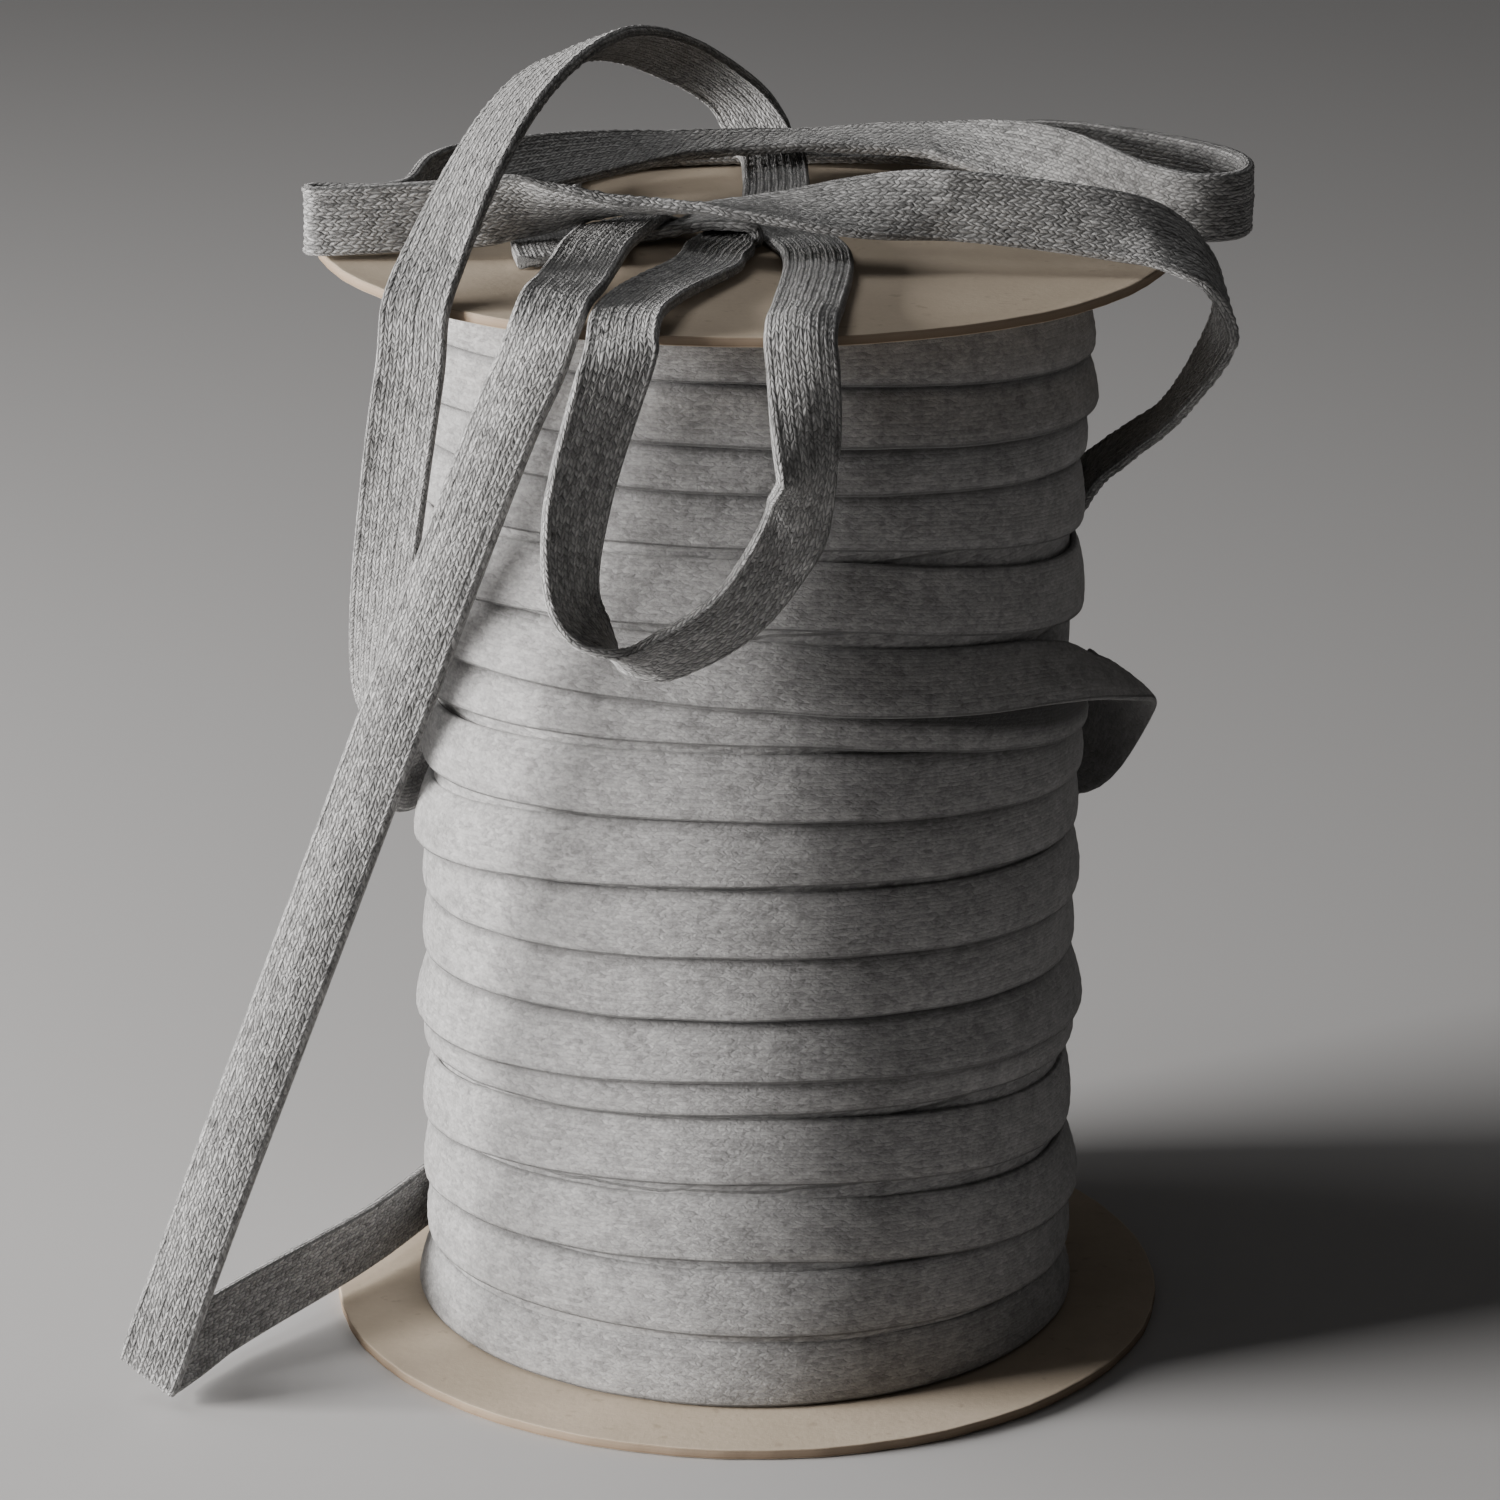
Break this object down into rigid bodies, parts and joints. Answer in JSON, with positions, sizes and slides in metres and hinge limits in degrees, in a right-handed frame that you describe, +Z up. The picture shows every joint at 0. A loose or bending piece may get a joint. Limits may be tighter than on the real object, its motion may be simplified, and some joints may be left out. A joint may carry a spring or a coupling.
{
  "type": "drawstring cord roll",
  "caption": "Roll of flat braided drawstring cord between two round card flanges, its loose end folded and looped over the top.",
  "frame": {"origin": "centre of the lower card's underside, on the surface the roll stands on", "axes": "+Z up along the roll's axis, -Y towards the viewer, +X to the viewer's right"},
  "size_m": [0.1641, 0.1324, 0.1944],
  "materials": {
    "card": "matte",
    "cord": "matte"
  },
  "bodies": {
    "root": {"flange_bottom": "card", "flange_top": "card", "winding": "cord", "loose_cord": "cord"}
  },
  "joints": []
}
